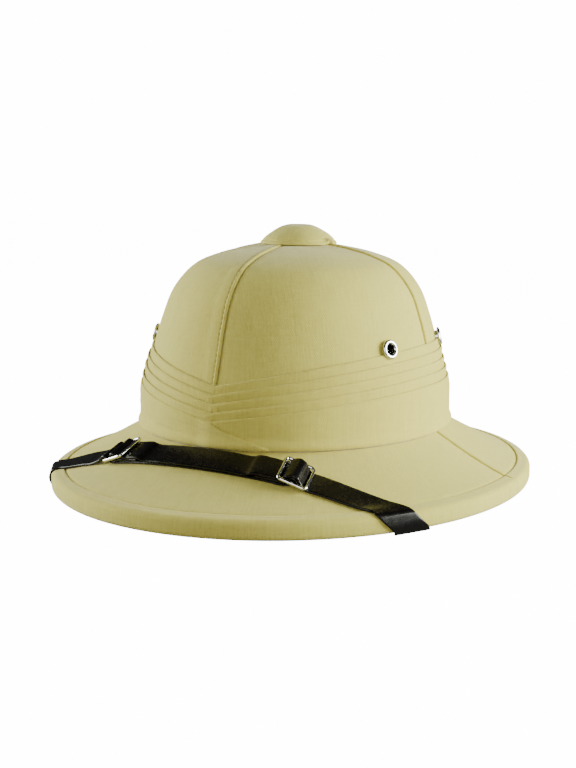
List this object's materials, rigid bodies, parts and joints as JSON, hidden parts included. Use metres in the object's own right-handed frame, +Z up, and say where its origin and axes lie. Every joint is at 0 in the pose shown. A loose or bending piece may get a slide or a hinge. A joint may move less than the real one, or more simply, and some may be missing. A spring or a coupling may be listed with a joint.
{
  "type": "pith helmet",
  "caption": "Cloth-covered sun helmet with a moulded crown and brim, pleated band, vent cap, eyelets and a leather chin strap laid over the brim with two slides.",
  "frame": {"origin": "on the ground under the middle of the helmet, which stands on its rim", "axes": "+Z up, -Y to the front of the helmet, +X to the wearer's left"},
  "size_m": [0.2998, 0.35, 0.1659],
  "materials": {
    "cover_cloth": "khaki cotton drill",
    "band_cloth": "khaki cotton, pleated",
    "shell_fibre": "pale moulded plant fibre, matt",
    "patent_leather": "black, polished",
    "bright_metal": "polished"
  },
  "bodies": {
    "root": {"brim_cover_front": "cover_cloth", "brim_cover_rear": "cover_cloth", "chin_strap_left": "patent_leather", "chin_strap_right": "patent_leather", "crown_panel_front_left": "cover_cloth", "crown_panel_front_right": "cover_cloth", "crown_panel_rear_left": "cover_cloth", "crown_panel_rear_right": "cover_cloth", "eyelet_front_left": "bright_metal", "eyelet_front_right": "bright_metal", "eyelet_rear_left": "bright_metal", "eyelet_rear_right": "bright_metal", "helmet_shell": "shell_fibre", "puggaree_left": "band_cloth", "puggaree_right": "band_cloth", "strap_rivet_left": "bright_metal", "strap_rivet_right": "bright_metal", "strap_slide_left": "bright_metal", "strap_slide_right": "bright_metal", "vent_cap": "cover_cloth", "vent_collar": "shell_fibre"}
  },
  "joints": []
}
